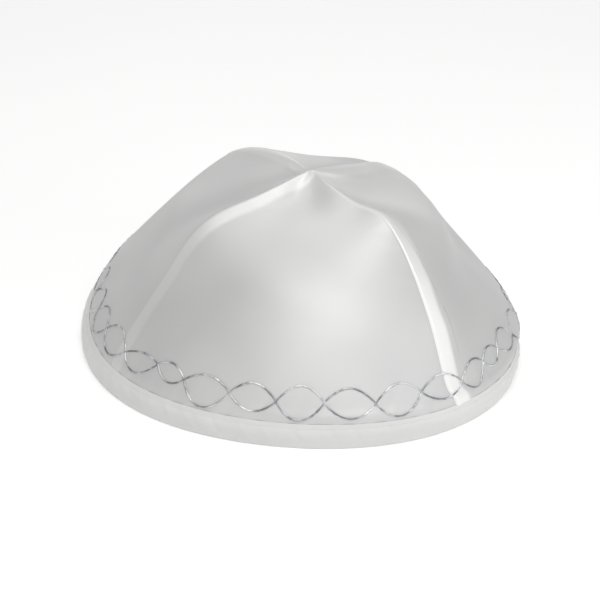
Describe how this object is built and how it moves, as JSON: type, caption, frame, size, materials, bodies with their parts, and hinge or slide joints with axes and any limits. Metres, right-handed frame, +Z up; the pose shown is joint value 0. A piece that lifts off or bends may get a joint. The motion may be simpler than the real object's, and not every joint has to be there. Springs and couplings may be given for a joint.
{
  "type": "kippah skullcap",
  "caption": "Satin kippah skullcap: curved crown panels sewn along ridge seams to one point, its rim bound with folded bias tape, resting open side down.",
  "frame": {"origin": "middle of the cap's footprint, on the surface that its rim rests on", "axes": "+Z up through the crown, -Y towards the front panel, +X to the right of someone who faces the front panel"},
  "size_m": [0.1774, 0.186, 0.0718],
  "materials": {
    "white_satin": "white polyester satin with a soft sheen",
    "white_satin_tape": "white satin bias tape, folded and stitched"
  },
  "bodies": {
    "root": {"crown_panel_front": "white_satin", "crown_panel_right": "white_satin", "crown_panel_back": "white_satin", "crown_panel_left": "white_satin", "rim_binding": "white_satin_tape"}
  },
  "joints": []
}
